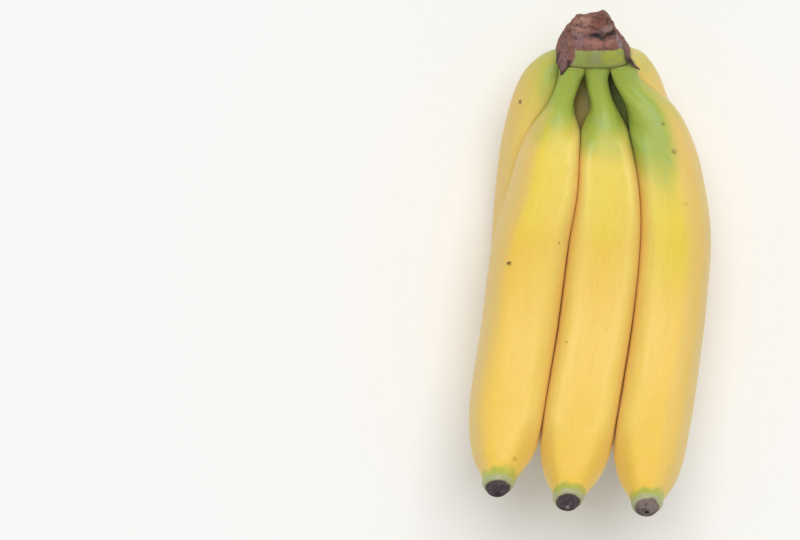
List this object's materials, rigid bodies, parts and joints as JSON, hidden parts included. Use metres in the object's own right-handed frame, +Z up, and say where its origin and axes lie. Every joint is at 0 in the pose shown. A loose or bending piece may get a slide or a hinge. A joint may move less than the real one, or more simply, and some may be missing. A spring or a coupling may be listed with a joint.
{
  "type": "hand of bananas",
  "caption": "Hand of ripe bananas, curved and nested in two rows, still joined at their cut crown, lying on its back row with the hollow side up.",
  "frame": {"origin": "middle of the bounding box, at the surface that the hand lies on", "axes": "+Y along the hand, from the blossom ends to the crown; +X across its two rows, to the right as the hollow side is seen from above; +Z up from the surface"},
  "size_m": [0.1106, 0.2286, 0.0992],
  "materials": {
    "front_peel": "waxy ripe banana peel, yellow, green at the necks, with brown freckles and dark blossom ends",
    "back_peel": "waxy banana peel, duller and more tan where it has bruised and faded",
    "crown_cork": "dry reddish-brown cork on the cuts, matt and wrinkled, over a dull green uncut pad"
  },
  "bodies": {
    "root": {"crown": "crown_cork", "banana_front_left": "front_peel", "banana_front_middle": "front_peel", "banana_front_right": "front_peel", "banana_back_left": "back_peel", "banana_back_middle": "back_peel", "banana_back_right": "back_peel"}
  },
  "joints": []
}
